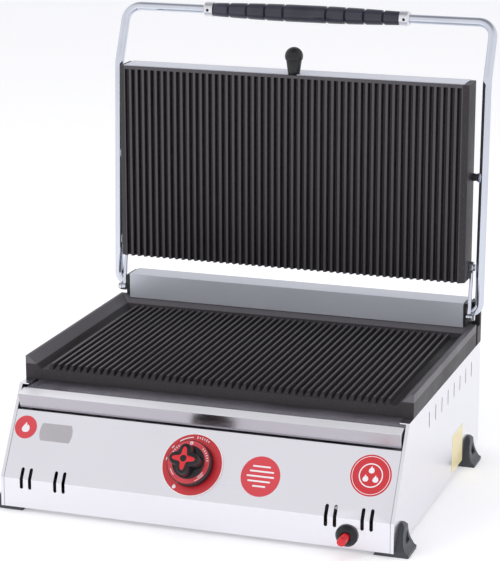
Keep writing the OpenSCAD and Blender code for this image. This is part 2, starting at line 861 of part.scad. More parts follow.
module gas_injector() {
  color(brass) place() translate([mix_x, jet_y - 10, burner_z]) rotate([-90, 0, 0])
    difference() {
      union() {
        cylinder(d = 12, h = 7, $fn = 6);
        cylinder(d = 8, h = 16);
      }
      translate([0, 0, -1]) cylinder(d = 4, h = 14);
      cylinder(d = 1, h = 20);
    }
}

// Safety valve behind the knob: body, spindle bush and the outlet arm to the jet
module gas_valve() {
  d = 26;
  l = 30;
  riser_y = valve_pos[1] + 12;
  color(brass) place() difference() {
    union() {
      on_slope(valve_pos) translate([0, 0, -l / 2]) cylinder(d = d, h = l);
      on_slope(valve_pos) translate([0, 0, l / 2 - 1]) cylinder(d = 16, h = 6);
      translate([mix_x, riser_y, valve_pos[2]]) cylinder(d = 12, h = burner_z - valve_pos[2]);
      translate([mix_x, riser_y, burner_z]) sphere(d = 12);
      rod_y(12, riser_y, jet_y - 10.2, mix_x, burner_z);
      rod_x(13, mix_x + 8, mix_x + 24, valve_pos[1] + 4, inlet_z);
    }
    on_slope(valve_pos) translate([0, 0, -5]) cylinder(d = plunger_d + 1, h = l);
    on_slope(valve_pos) translate([0, 0, l / 2 - 9]) cylinder(d = spindle_d + 1, h = 20);
  }
}

module valve_bracket() {
  z = foot_h + 2 * sheet;
  y = valve_pos[1] + 2;
  top = valve_pos[2] - 24;
  color("dimgray") place() {
    translate([mix_x - 20, y, z]) cube([40, 24, 1.5]);
    translate([mix_x - 12, y + 6, z]) cube([24, 2, top - z]);
    translate([mix_x - 12, y - 8, top]) cube([24, 16, 2]);
  }
}

// Pipe along the right side from the inlet to the valve
module supply_pipe() {
  r = 18;
  y1 = valve_pos[1] + 4;
  color("#b8b4a8") place() {
    rod_x(pipe_d, mix_x + 24, inlet_x - r, y1, inlet_z);
    translate([inlet_x - r, y1 + r, inlet_z]) rotate([0, 0, -90]) bend(r, 90, pipe_d);
    rod_y(pipe_d, y1 + r, body_d - 14, inlet_x, inlet_z);
  }
}

// Hose tail through the back panel
module gas_inlet() {
  color(brass) place() difference() {
    union() {
      rod_y(13, body_d - 14, body_d + 3, inlet_x, inlet_z);
      translate([inlet_x, body_d + 9, inlet_z]) rotate([90, 0, 0])
        cylinder(d = 19, h = 8.8, $fn = 6);
      rod_y(hose_tail_d, body_d + 8, body_d + inlet_out, inlet_x, inlet_z);
    }
    rod_y(5, body_d - 20, body_d + inlet_out + 1, inlet_x, inlet_z);
  }
}

module inlet_locknut() {
  color(brass) place() difference() {
    translate([inlet_x, body_d - sheet, inlet_z]) rotate([90, 0, 0])
      cylinder(d = 20, h = 4, $fn = 6);
    rod_y(13 + 0.2, body_d - 20, body_d, inlet_x, inlet_z);
  }
}

module thermocouple() {
  x = mix_x + 30;
  y = burner_y[0] - 17.5;
  color("#a87848") place() {
    translate([x, y, burner_z - 6]) cylinder(d = 5, h = 36);
    translate([x - 5, y - 4, burner_z - 2]) cube([10, 8, 1.5]);
    translate([x, y, burner_z - 16]) cylinder(d = 7, h = 10, $fn = 6);
  }
}

module ignition_electrode() {
  x = mix_x - 30;
  y = burner_y[0] - 17.5;
  color("white") place() {
    translate([x, y, burner_z - 18]) cylinder(d = 7, h = 34);
    translate([x, y, burner_z + 15]) cylinder(d = 2, h = 9);
    translate([x - 6, y - 4, burner_z - 4]) cube([12, 8, 1.5]);
  }
}

// Lead from the igniter to the electrode, held inside the body all the way
module ignition_lead() {
  r = 14;
  x1 = mix_x - 30;
  y = 36;
  z1 = igniter_z + 4;
  y2 = burner_y[0] - 17.5;
  color("#b03020") place() {
    rod_y(3.4, igniter_in, y - r, igniter_x, igniter_z);
    translate([igniter_x - r, y - r, igniter_z]) bend(r, 90, 3.4);
    rod_x(3.4, x1 + r, igniter_x - r, y, igniter_z);
    translate([x1 + r, y + r, igniter_z]) rotate([0, 0, 180]) bend(r, 90, 3.4);
    rod_y(3.4, y + r, y2 - r, x1, igniter_z);
    translate([x1, y2 - r, igniter_z + r]) rotate([0, 90, 0]) bend(r, 90, 3.4);
    translate([x1, y2, igniter_z + r]) cylinder(d = 3.4, h = burner_z - 18 - igniter_z - r);
  }
}

igniter_in = 20;

module igniter_body() {
  color("#2a2a2c") place() difference() {
    union() {
      rod_y(piezo_d, -2, igniter_in, igniter_x, igniter_z);
      rod_y(piezo_d + 6, sheet + 0.1, sheet + 5, igniter_x, igniter_z);
    }
    rod_y(button_d + 0.6, -3, igniter_in - 6, igniter_x, igniter_z);
  }
}

module igniter_collar() {
  color("#1e1e22") place() difference() {
    union() {
      rod_y(collar_d, -4, 0, igniter_x, igniter_z);
      translate([igniter_x, -4, igniter_z]) rotate([90, 0, 0])
        cylinder(d1 = collar_d, d2 = collar_d - 9, h = collar_h - 4);
    }
    rod_y(piezo_d + 0.2, -2.6, 1, igniter_x, igniter_z);
    rod_y(button_d + 0.8, -collar_h - 1, 1, igniter_x, igniter_z);
  }
}

module igniter_button() {
  color(red) place() {
    rod_y(button_d, -button_out + 2, igniter_in - 6 - button_travel - 1, igniter_x, igniter_z);
    translate([igniter_x, -button_out + 2, igniter_z]) rotate([90, 0, 0])
      cylinder(d1 = button_d, d2 = button_d - 4, h = 2);
  }
}

module heat_shield() {
  z = 62;
  y = tray_lip_y + tray_d + 2.5;
  color("lightgray") place() difference() {
    union() {
      translate([-inner_x + 20, y, z]) cube([2 * inner_x - 40, box_y - 24 - y, 1]);
      translate([-inner_x + 20, y, z]) cube([2 * inner_x - 40, 1, plate_z - z - 2]);
    }
    for (x = [-130, 100], b = burner_y) translate([x - 10, b - 16, z - 1]) cube([20, 32, 3]);
    translate([inlet_x - 10, y - 2, z - 5]) cube([20, body_d, 10]);
    translate([mix_x - 36, y + 3, z - 1]) cube([12, 40, 3]);
    rod_y(30, y - 2, y + 4, mix_x, burner_z);
    translate([mix_x - 20, y - 2, z - 1]) cube([40, 10, 6]);
  }
}

// ---------- controls ----------

module dial_plate() {
  color(red) place() on_slope(knob_pos) difference() {
    cylinder(d = dial_d, h = dial_t);
    translate([0, 0, -1]) cylinder(d = spindle_d + 4, h = 3);
  }
}

module labels() {
  t = 0.35;
  color("whitesmoke") place() {
    for (p = [[20 - half_w, 98.5, 29], [0.32 * half_w, 75, 49], [half_w - 36.5, 89, 50]])
      on_slope([p[0], slope_y(p[1]), p[1]]) cylinder(d = p[2], h = t);
    on_slope([61 - half_w, slope_y(95.5), 95.5]) translate([-21, -12, 0]) cube([42, 24, t]);
    translate([half_w, label_y, 10]) cube([t, label_l, 50]);
  }
}

module gas_knob() {
  lobe_r = 9;
  color("#1c1c20") place() on_slope(knob_pos + skirt_gap * slope_n) difference() {
    union() {
      cylinder(d1 = skirt_d, d2 = skirt_d - 3, h = skirt_h);
      translate([0, 0, skirt_h - 1]) linear_extrude(knob_h - skirt_h + 1) {
        for (a = [0 : 90 : 270]) rotate(a) translate([lobe_d / 2 - lobe_r, 0]) circle(r = lobe_r);
        circle(r = lobe_d / 2 - lobe_r);
      }
    }
    difference() {
      translate([0, 0, -1]) cylinder(d = skirt_d - 8, h = skirt_h - 3);
      translate([0, 0, -2]) cylinder(d = 18, h = skirt_h);
    }
    translate([0, 0, -1]) cylinder(d = spindle_d + 2 * run_fit, h = knob_bore + 1);
    translate([0, 0, knob_h - 1.2]) linear_extrude(3) star(0);
  }
}

// Four-lobed mark on the knob's face, drawn smaller by the clearance g
module star(g) {
  for (a = [0 : 90 : 270]) rotate(a) translate([7.5, 0]) circle(r = 5.5 - g);
  circle(r = 7);
}

// Valve spindle, hollow at its inner end for the push rod
module knob_spindle() {
  reach = valve_in - 11;
  color("gray") place() on_slope(knob_pos) translate([0, 0, -reach]) difference() {
    cylinder(d = spindle_d, h = reach + skirt_gap + knob_bore - 0.5);
    translate([0, 0, -1]) cylinder(d = plunger_d + 2 * run_fit, h = 20);
  }
}

module knob_insert() {
  color(red) place() on_slope(knob_pos + (skirt_gap + knob_h - 1.2) * slope_n)
    linear_extrude(1.4) star(0.15);
}

// The valve's push rod, which the knob presses in against the magnet's spring
module valve_plunger() {
  color(brass) place() on_slope(valve_pos) translate([0, 0, -2])
    cylinder(d = plunger_d, h = 28);
}

// ---------- drip tray ----------

module drip_tray() {
  top = [tray_lip_y - tray_lip_lean, tray_lip_z + tray_lip_h];
  back = tray_lip_y + tray_d;
  rim = top + [tray_rim, tray_rim * tan(tray_rim_rise)];
  line = [
    [back, tray_lip_z + 16], [back, tray_lip_z], [tray_lip_y, tray_lip_z], top, rim,
    rim - [0, 6]
  ];
  end = [
    [tray_lip_y, tray_lip_z], top, rim, rim - [0, 2], [back, tray_lip_z + 18], [back, tray_lip_z]
  ];
  color(steel) place() {
    slab(tray_w - 1) folded(line);
    both_sides() slab(sheet, (tray_w - sheet) / 2) polygon(end);
  }
}

module panel_screws() {
  color("gray") place() {
    both_sides() for (y = [40, body_d - 37]) translate([half_w - 40, y, foot_h - 1.8])
      cylinder(d = 7, h = 1.8);
    both_sides() for (z = [30, 120]) translate([half_w - 24, body_d + 1.8, z])
      rotate([90, 0, 0]) cylinder(d = 7, h = 1.8);
    both_sides() translate([web_x - 11, (plate_y2 + box_y2) / 2, side_top_z + 3])
      cylinder(d = 9, h = 3.5, $fn = 6);
  }
}

front_panel();
side_panel_left();
side_panel_right();
rear_panel();
base_pan();
foot_front_left();
foot_front_right();
foot_rear_left();
foot_rear_right();
lower_plate();
plate_rails();
tray_rails();
rear_box();
hinge_bracket_left();
hinge_bracket_right();
lid_stop();
pivot_bushes();
heat_shield();
burner();
burner_supports();
mixing_tube();
air_shutter();
gas_injector();
gas_valve();
valve_bracket();
supply_pipe();
gas_inlet();
inlet_locknut();
thermocouple();
ignition_electrode();
ignition_lead();
igniter_body();
igniter_collar();
igniter_button();
dial_plate();
labels();
panel_screws();
drip_tray();
handle_frame();
handle_grip();
grip_collars();
collar_screws();
stud_sockets();
shaft_collars();
link_lugs();
link_bolts();
upper_plate();
upper_cover();
cover_screws();
plate_studs();
link_studs();
lid_knob();
link_left();
link_right();
gas_knob();
knob_spindle();
knob_insert();
valve_plunger();
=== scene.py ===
"""Looks of the contact grill: materials for the CAD nodes and detailed pieces that stand for some of them."""

import json
import math

import bmesh
import bpy
from mathutils import Matrix, Vector


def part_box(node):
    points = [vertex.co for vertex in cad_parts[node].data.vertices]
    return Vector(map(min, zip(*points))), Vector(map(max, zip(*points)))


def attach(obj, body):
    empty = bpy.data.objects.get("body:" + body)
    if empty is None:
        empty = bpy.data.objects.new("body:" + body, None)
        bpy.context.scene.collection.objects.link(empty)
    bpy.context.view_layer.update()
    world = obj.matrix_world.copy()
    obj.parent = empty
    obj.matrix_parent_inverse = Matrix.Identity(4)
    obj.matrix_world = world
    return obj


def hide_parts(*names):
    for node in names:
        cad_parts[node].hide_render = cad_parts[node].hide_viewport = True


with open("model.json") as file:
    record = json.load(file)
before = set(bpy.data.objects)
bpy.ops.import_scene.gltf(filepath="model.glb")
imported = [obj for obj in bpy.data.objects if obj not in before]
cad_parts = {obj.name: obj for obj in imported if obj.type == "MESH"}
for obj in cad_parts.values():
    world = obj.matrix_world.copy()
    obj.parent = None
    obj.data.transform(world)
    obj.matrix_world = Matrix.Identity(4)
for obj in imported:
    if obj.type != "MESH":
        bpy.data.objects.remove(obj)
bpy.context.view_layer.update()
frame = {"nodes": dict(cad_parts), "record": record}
NODES = frame["nodes"]
RECORD = frame["record"]
JOINTS = {j["name"]: j for j in RECORD["behaviour"]["joints"]}
MM = 0.001
TAU = 2 * math.pi

# ---------------------------------------------------------------- places taken from the frame
KNOB = Vector(JOINTS["knob_turn"]["pos_m"])          # middle of the dial, on the sloping panel
OUT = Vector(JOINTS["knob_turn"]["axis"]).normalized()   # the sloping panel's outward normal
UP = Vector((1, 0, 0)).cross(OUT) * -1               # up the slope
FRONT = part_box("front_panel")[0][1]                  # the front panel's foremost line


def on_panel(x, z):
    """The point of the sloping panel at that x and height."""
    return Vector((x, KNOB.y + (z - KNOB.z) * -OUT.z / OUT.y, z))


def panel_frame(p, lift=0.0):
    """Matrix whose X runs along the panel, Y up the slope and Z outward, at p."""
    m = Matrix((Vector((1, 0, 0)), UP, OUT)).transposed().to_4x4()
    m.translation = p + OUT * lift
    return m


# ---------------------------------------------------------------- camera
SENSOR = 36                                          # sensor width, mm
FOCAL_RATIO = 4.444                                  # focal length over sensor width
CAMERA_AT = (0.8741, FRONT - 2.3378, 0.9776)
CAMERA_DIP = 14.9                                    # degrees below the horizon
CAMERA_ROUND = 18.9                                  # degrees round from straight in front


def add_camera():
    data = bpy.data.cameras.new("camera")
    data.sensor_fit = "HORIZONTAL"
    data.sensor_width = SENSOR
    data.lens = FOCAL_RATIO * SENSOR
    data.clip_end = 20
    cam = bpy.data.objects.new("camera", data)
    cam.location = CAMERA_AT
    cam.rotation_euler = (math.radians(90 - CAMERA_DIP), 0, math.radians(CAMERA_ROUND))
    bpy.context.collection.objects.link(cam)
    bpy.context.scene.camera = cam


add_camera()


# ---------------------------------------------------------------- materials
class Mat:
    """A Principled material with a few helpers for noise, ramps and bump."""

    def __init__(self, name, color, rough, metal=0.0, **sockets):
        self.mat = bpy.data.materials.new(name)
        self.mat.use_nodes = True
        self.nt = self.mat.node_tree
        self.bsdf = self.nt.nodes["Principled BSDF"]
        self.coords = self.nt.nodes.new("ShaderNodeTexCoord")
        self.set("Base Color", (*color, 1))
        self.set("Roughness", rough)
        self.set("Metallic", metal)
        for key, value in sockets.items():
            self.set(key.replace("_", " "), value)
        self.normal = None

    def set(self, key, value):
        self.bsdf.inputs[key].default_value = value

    def node(self, kind, **props):
        n = self.nt.nodes.new(kind)
        for key, value in props.items():
            setattr(n, key, value)
        return n

    def link(self, a, b):
        self.nt.links.new(a, b)

    def noise(self, scale, detail=3.0, stretch=(1, 1, 1), rough=0.5):
        m = self.node("ShaderNodeMapping")
        m.inputs["Scale"].default_value = stretch
        self.link(self.coords.outputs["Object"], m.inputs["Vector"])
        n = self.node("ShaderNodeTexNoise")
        n.inputs["Scale"].default_value = scale
        n.inputs["Detail"].default_value = detail
        n.inputs["Roughness"].default_value = rough
        self.link(m.outputs["Vector"], n.inputs["Vector"])
        return n.outputs["Fac"]

    def ramp(self, fac, stops):
        r = self.node("ShaderNodeValToRGB")
        e = r.color_ramp.elements
        while len(e) < len(stops):
            e.new(0.5)
        for i, (pos, col) in enumerate(stops):
            e[i].position = pos
            e[i].color = (*col, 1)
        self.link(fac, r.inputs["Fac"])
        return r.outputs["Color"]

    def between(self, fac, lo, hi, a=0.3, b=0.7):
        m = self.node("ShaderNodeMapRange")
        m.inputs["From Min"].default_value = a
        m.inputs["From Max"].default_value = b
        m.inputs["To Min"].default_value = lo
        m.inputs["To Max"].default_value = hi
        self.link(fac, m.inputs["Value"])
        return m.outputs["Result"]

    def mix(self, fac, a, b):
        m = self.node("ShaderNodeMix", data_type="RGBA")
        for sock, value in ((m.inputs["Factor"], fac), (m.inputs["A"], a), (m.inputs["B"], b)):
            self.feed(sock, value)
        return m.outputs["Result"]

    def feed(self, sock, value):
        if isinstance(value, bpy.types.NodeSocket):
            self.link(value, sock)
        elif isinstance(value, tuple) and len(value) == 3:
            sock.default_value = (*value, 1)
        else:
            sock.default_value = value

    def colour(self, fac, stops):
        self.link(self.ramp(fac, stops), self.bsdf.inputs["Base Color"])
        return self

    def roughen(self, fac, lo, hi):
        self.link(self.between(fac, lo, hi), self.bsdf.inputs["Roughness"])
        return self

    def bump(self, fac, strength, distance):
        b = self.node("ShaderNodeBump")
        b.inputs["Strength"].default_value = strength
        b.inputs["Distance"].default_value = distance
        self.link(fac, b.inputs["Height"])
        if self.normal:
            self.link(self.normal, b.inputs["Normal"])
        self.normal = b.outputs["Normal"]
        self.link(self.normal, self.bsdf.inputs["Normal"])
        return self

    def coordinate(self, axis):
        """One object coordinate, in metres."""
        s = self.node("ShaderNodeSeparateXYZ")
        self.link(self.coords.outputs["Object"], s.inputs["Vector"])
        return s.outputs[axis]


BRUSHED = (1.5, 260, 260)                            # draws the noise out into lines along X


def two_tones(tint, dim):
    """Ramp stops from a dimmed tint to the tint itself."""
    return [(0.3, tuple(c * dim for c in tint)), (0.7, tint)]


def sheet_steel(name, tint, lo, hi, metal=1.0):
    """Polished stainless: faint brush lines, a little waviness, smudges in the gloss."""
    m = Mat(name, tint, lo, metal)
    brush = m.noise(6, 2, BRUSHED)
    smudge = m.noise(14, 4)
    m.colour(m.noise(5, 3), two_tones(tint, 0.965))
    m.roughen(m.mix(0.5, brush, smudge), lo, hi)
    m.bump(m.noise(4.5, 1), 0.25, 0.00025)
    m.bump(brush, 0.05, 0.00004)
    return m.mat


def cast_iron(name, crest=None, axis="Z"):
    """Dark sand-cast iron with a grain, and a painted highlight: a paler colour where the coordinate passes
    crest.
    """
    m = Mat(name, (0.05, 0.045, 0.047), 0.5, 0.35, Specular_IOR_Level=0.5)
    grain = m.noise(620, 3, rough=0.7)
    cloud = m.noise(18, 4)
    base = m.ramp(grain, [(0.25, (0.012, 0.011, 0.012)), (0.55, (0.030, 0.026, 0.029)),
                          (0.78, (0.115, 0.108, 0.118))])
    base = m.mix(0.35, base, m.ramp(cloud, [(0.3, (0.022, 0.019, 0.021)), (0.7, (0.045, 0.040, 0.044))]))
    if crest is not None:
        lo, hi = crest
        # painted highlight: the colour pales where the coordinate passes crest
        crest_highlight = m.between(m.coordinate(axis), 0.0, 1.0, lo, hi)
        base = m.mix(crest_highlight, base, (0.135, 0.128, 0.14))
    m.link(base, m.bsdf.inputs["Base Color"])
    m.roughen(m.mix(0.5, grain, cloud), 0.38, 0.62)
    m.bump(m.noise(90, 3), 0.25, 0.0003)
    m.bump(grain, 0.6, 0.00028)
    return m.mat


def plated(name, tint, lo, hi):
    """Plated or turned metal, with a slightly uneven gloss."""
    m = Mat(name, tint, lo, 1.0)
    m.colour(m.noise(30, 3), two_tones(tint, 0.94))
    m.roughen(m.noise(60, 4), lo, hi)
    m.bump(m.noise(40, 2), 0.08, 0.00005)
    return m.mat


def moulded(name, dark, light, lo, hi, grain=500, strength=0.25, **sockets):
    """Plastic, paint or ceramic between two tones, with a fine grain."""
    m = Mat(name, dark, lo, 0.0, **sockets)
    m.colour(m.noise(22, 4), [(0.3, dark), (0.7, light)])
    m.roughen(m.noise(70, 4), lo, hi)
    m.bump(m.noise(grain, 3), strength, 0.00012)
    return m.mat


def printed(name, colour, rough=0.32):
    """Ink or sticker under a thin gloss coat."""
    m = Mat(name, colour, rough, 0.0, Coat_Weight=0.25, Coat_Roughness=0.15)
    m.colour(m.noise(40, 3), two_tones(colour, 0.93))
    m.roughen(m.noise(120, 3), rough - 0.06, rough + 0.08)
    m.bump(m.noise(300, 2), 0.06, 0.00005)
    return m.mat


STEEL = (0.83, 0.82, 0.86)
MATS = {
    "steel": sheet_steel("steel", STEEL, 0.16, 0.28),
    "galv": sheet_steel("galv", (0.60, 0.61, 0.64), 0.3, 0.45),
    "foot": moulded("foot", (0.035, 0.037, 0.046), (0.052, 0.055, 0.066), 0.34, 0.5),
    "black_metal": moulded("black_metal", (0.012, 0.012, 0.014), (0.022, 0.022, 0.026), 0.32, 0.45),
    "brass": plated("brass", (0.72, 0.56, 0.28), 0.22, 0.36),
    "burner_steel": plated("burner_steel", (0.36, 0.31, 0.27), 0.38, 0.55),
    "pipe": plated("pipe", (0.62, 0.60, 0.57), 0.25, 0.4),
    "ceramic": moulded("ceramic", (0.80, 0.79, 0.76), (0.86, 0.85, 0.82), 0.15, 0.25, 300, 0.08),
    "lead": moulded("lead", (0.42, 0.05, 0.03), (0.52, 0.07, 0.04), 0.45, 0.6),
    "black_plastic": moulded("black_plastic", (0.007, 0.007, 0.009), (0.013, 0.013, 0.016), 0.14, 0.26,
                             380, 0.1, Specular_IOR_Level=0.38),
    "red_plastic": moulded("red_plastic", (0.62, 0.012, 0.020), (0.74, 0.022, 0.032), 0.2, 0.32, 320, 0.1),
    "red_print": printed("red_print", (0.60, 0.035, 0.070)),
    "label": printed("label", (0.84, 0.83, 0.84)),
    "screw": plated("screw", (0.60, 0.60, 0.62), 0.2, 0.34),
    "chrome": plated("chrome", (0.66, 0.69, 0.76), 0.07, 0.15),
    "collar": plated("collar", (0.80, 0.80, 0.83), 0.26, 0.38),
    "grip": moulded("grip", (0.020, 0.020, 0.032), (0.038, 0.038, 0.058), 0.14, 0.26, 260, 0.12),
    "iron": cast_iron("iron"),
}
CREST_RISE = 20 * MM                                 # from the lower plate's underside to its crests, where a paler colour is painted as a highlight
CREST_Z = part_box("lower_plate")[0][2] + CREST_RISE
FACE_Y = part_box("upper_plate")[0][1]                 # foremost point of the upper plate
# iron with a painted highlight: paler on the lower plate's rib crests and at the upper plate's foremost edge
IRON_LOWER = cast_iron("iron_lower", (CREST_Z - 0.35 * MM, CREST_Z + 0.35 * MM), "Z")
IRON_UPPER = cast_iron("iron_upper", (FACE_Y + 0.5 * MM, FACE_Y - 0.5 * MM), "Y")
WHITE_INK = printed("white_ink", (0.86, 0.84, 0.86), 0.3)
RED_INK = printed("red_ink", (0.60, 0.018, 0.028), 0.34)
PINK_INK = printed("pink_ink", (0.66, 0.045, 0.062), 0.34)
YELLOW_INK = printed("yellow_ink", (0.90, 0.83, 0.46), 0.4)
ORANGE_INK = printed("orange_ink", (0.84, 0.58, 0.36), 0.4)
FOIL = printed("foil", (0.42, 0.40, 0.42), 0.35)
# darker copy of the steel for the tray's forward faces: a painted dark reflection
LIP_PAINTED_REFLECTION = sheet_steel("lip_painted_reflection", (0.50, 0.48, 0.52), 0.16, 0.28)
# paler, less metallic copy of the steel for the tray rim's upward faces: a painted highlight
RIM_PAINTED_HIGHLIGHT = sheet_steel("rim_painted_highlight", (0.95, 0.95, 0.98), 0.34, 0.46, 0.45)
BOX_STEEL = sheet_steel("box_steel", (0.62, 0.64, 0.70), 0.34, 0.46, 0.6)

for entry in RECORD["subparts"]:
    ob = NODES[entry["node"]]
    ob.data.materials.clear()
    ob.data.materials.append(MATS[entry["material_slot"]])


# ---------------------------------------------------------------- mesh helpers
def smooth(me, angle=35):
    me.shade_smooth()
    me.set_sharp_from_angle(angle=math.radians(angle))


def add_object(name, me, material, body, node):
    """Puts a mesh in the scene on its body, in place of the CAD node."""
    me.materials.clear()
    me.materials.append(material)
    ob = bpy.data.objects.new(name, me)
    bpy.context.collection.objects.link(ob)
    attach(ob, body)
    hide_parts(node)
    return ob


def from_bmesh(name, bm, material, body, node, angle=35):
    bmesh.ops.recalc_face_normals(bm, faces=bm.faces)
    me = bpy.data.meshes.new(name)
    bm.to_mesh(me)
    bm.free()
    smooth(me, angle)
    return add_object(name, me, material, body, node)


def body_of(node):
    for body, names in RECORD["behaviour"]["bodies"].items():
        if node in names:
            return body
    raise KeyError(node)


WELD = 2e-6                                          # metres; closer points are one point
FLAT_FOLD = math.radians(0.6)                        # flatter folds between faces are dissolved
EDGE_FOLD = 30                                       # degrees; sharper folds are rounded


def softened(node, width, segments=2, material=None):
    """A copy of the CAD node with its edges rounded, which stands for the node."""
    me = NODES[node].data.copy()
    bm = bmesh.new()
    bm.from_mesh(me)
    bmesh.ops.remove_doubles(bm, verts=bm.verts, dist=WELD)
    bmesh.ops.dissolve_limit(bm, angle_limit=FLAT_FOLD, verts=bm.verts, edges=bm.edges)
    bm.to_mesh(me)
    bm.free()
    slot = next(s["material_slot"] for s in RECORD["subparts"] if s["node"] == node)
    ob = add_object(node + "_soft", me, material or MATS[slot], body_of(node), node)
    bevel = ob.modifiers.new("edges", "BEVEL")
    bevel.width = width
    bevel.segments = segments
    bevel.limit_method = "ANGLE"
    bevel.angle_limit = math.radians(EDGE_FOLD)
    bevel.use_clamp_overlap = True
    bevel.harden_normals = True
    smooth(me, EDGE_FOLD)
    return ob


def lathe(name, profile, axis_point, axis, material, body, node, steps=72, angle=35):
    """Turns a profile of (radius, height) pairs round an axis."""
    bm = bmesh.new()
    turn = Vector((0, 0, 1)).rotation_difference(Vector(axis)).to_matrix()
    start = Vector(axis_point)
    rings = []
    for r, h in profile:
        outline = circle(r, steps) if r > 0 else [(0, 0)]
        rings.append([bm.verts.new(start + turn @ Vector((x, y, h))) for x, y in outline])
    for a, b in zip(rings, rings[1:]):
        for i in range(steps):
            j = (i + 1) % steps
            if len(a) == 1 and len(b) == 1:
                continue
            if len(a) == 1:
                bm.faces.new((a[0], b[i], b[j]))
            elif len(b) == 1:
                bm.faces.new((a[i], a[j], b[0]))
            else:
                bm.faces.new((a[i], a[j], b[j], b[i]))
    return from_bmesh(name, bm, material, body, node, angle)


def flat_shape(bm, outline, m, thick):
    """A plate of that outline, in the frame m, from its plane out to thick."""
    low = [bm.verts.new(m @ Vector((x, y, 0))) for x, y in outline]
    top = [bm.verts.new(m @ Vector((x, y, thick))) for x, y in outline]
    n = len(outline)
    bm.faces.new(top)
    bm.faces.new(low[::-1])
    for i in range(n):
        j = (i + 1) % n
        bm.faces.new((low[i], low[j], top[j], top[i]))


def ring_shape(bm, r1, r2, m, thick, a1=0.0, a2=TAU, steps=64):
    """A flat ring or arc between the radii r1 and r2."""
    n = max(2, int(steps * (a2 - a1) / TAU))
    full = a2 - a1 > TAU - 1e-6
    section = ((r1, 0), (r2, 0), (r2, thick), (r1, thick))
    cols = []
    for i in range(n if full else n + 1):
        a = a1 + (a2 - a1) * i / n
        c, s = math.cos(a), math.sin(a)
        cols.append([bm.verts.new(m @ Vector((r * c, r * s, h))) for r, h in section])
    for i in range(n):
        a, b = cols[i], cols[(i + 1) % len(cols)]
        for k in range(4):
            after = (k + 1) % 4
            bm.faces.new((a[k], a[after], b[after], b[k]))
    if not full:
        bm.faces.new(cols[0])
        bm.faces.new(cols[-1][::-1])


def circle(r, steps=64):
    return [(r * math.cos(TAU * i / steps), r * math.sin(TAU * i / steps)) for i in range(steps)]


def bar(cx, cy, w, h, turn=0.0):
    """The corners of a w by h rectangle, turned about its middle."""
    c, s = math.cos(turn), math.sin(turn)
    corners = ((-w / 2, -h / 2), (w / 2, -h / 2), (w / 2, h / 2), (-w / 2, h / 2))
    return [(cx + x * c - y * s, cy + x * s + y * c) for x, y in corners]


def tick(bm, r, a, length, width, m, thick):
    """A bar that points away from the middle, at the radius r and the angle a."""
    flat_shape(bm, bar(r * math.cos(a), r * math.sin(a), length, width, a), m, thick)


def flame(size, cx=0.0, cy=0.0):
    """A plain flame outline."""
    pts = [(0, -0.5), (0.3, -0.42), (0.42, -0.15), (0.34, 0.12), (0.2, 0.28), (0.14, 0.1), (0.02, 0.5),
           (-0.16, 0.22), (-0.34, -0.02), (-0.38, -0.25), (-0.24, -0.44)]
    return [(cx + x * size, cy + y * size) for x, y in pts]


# ---------------------------------------------------------------- sheet metal and castings
SHEET_EDGES = {                                      # edge rounding, mm
    "front_panel": 0.5, "side_panel_left": 0.35, "side_panel_right": 0.35, "rear_panel": 0.4,
    "rear_box": 0.5, "drip_tray": 0.45, "upper_cover": 0.5, "lid_stop": 1.2,
    "hinge_bracket_left": 0.5, "hinge_bracket_right": 0.5, "foot_front_left": 1.1,
    "foot_front_right": 1.1, "foot_rear_left": 1.1, "foot_rear_right": 1.1,
    "link_left": 0.5, "link_right": 0.5, "link_lugs": 0.3,
}
IRON_EDGE = 0.55 * MM
FACING = 0.8                                         # a face faces a way when its normal has this much of it


def paint_tray_light():
    """Paints light on the tray: a darker steel on its forward faces, a painted dark reflection, and a paler
    steel on the upward faces of its rim, a painted highlight.
    """
    tray = bpy.data.objects["drip_tray_soft"].data
    tray.materials.append(LIP_PAINTED_REFLECTION)
    tray.materials.append(RIM_PAINTED_HIGHLIGHT)
    rim_z = CREST_Z - 40 * MM
    for face in tray.polygons:
        # forward faces: painted dark reflection; upward rim faces: painted highlight
        if face.normal.y < -FACING:
            face.material_index = 1
        elif face.normal.z > FACING and face.center.z > rim_z:
            face.material_index = 2


for node, width in SHEET_EDGES.items():
    steel = BOX_STEEL if node in ("rear_box", "upper_cover") else None
    softened(node, width * MM, 3 if width > 1 else 2, steel)
paint_tray_light()
softened("lower_plate", IRON_EDGE, 2, IRON_LOWER)
softened("upper_plate", IRON_EDGE, 2, IRON_UPPER)


# ---------------------------------------------------------------- turned and moulded pieces
def loft(bm, rings):
    """Joins rings of the same count of points, and closes both ends."""
    loops = [[bm.verts.new(p) for p in ring] for ring in rings]
    n = len(loops[0])
    for a, b in zip(loops, loops[1:]):
        for i in range(n):
            j = (i + 1) % n
            bm.faces.new((a[i], a[j], b[j], b[i]))
    bm.faces.new(loops[0][::-1])
    bm.faces.new(loops[-1])


def polar_ring(m, radius_of, h, steps=144):
    """A closed ring of points whose radius depends on the angle."""
    return [m @ Vector((radius_of(a) * math.cos(a), radius_of(a) * math.sin(a), h))
            for a in (TAU * i / steps for i in range(steps))]


def petal(low, high, power):
    """A radius that swings between low and high, four times round."""
    return lambda a: (low + (high - low) * ((1 + math.cos(4 * a)) / 2) ** power) * MM


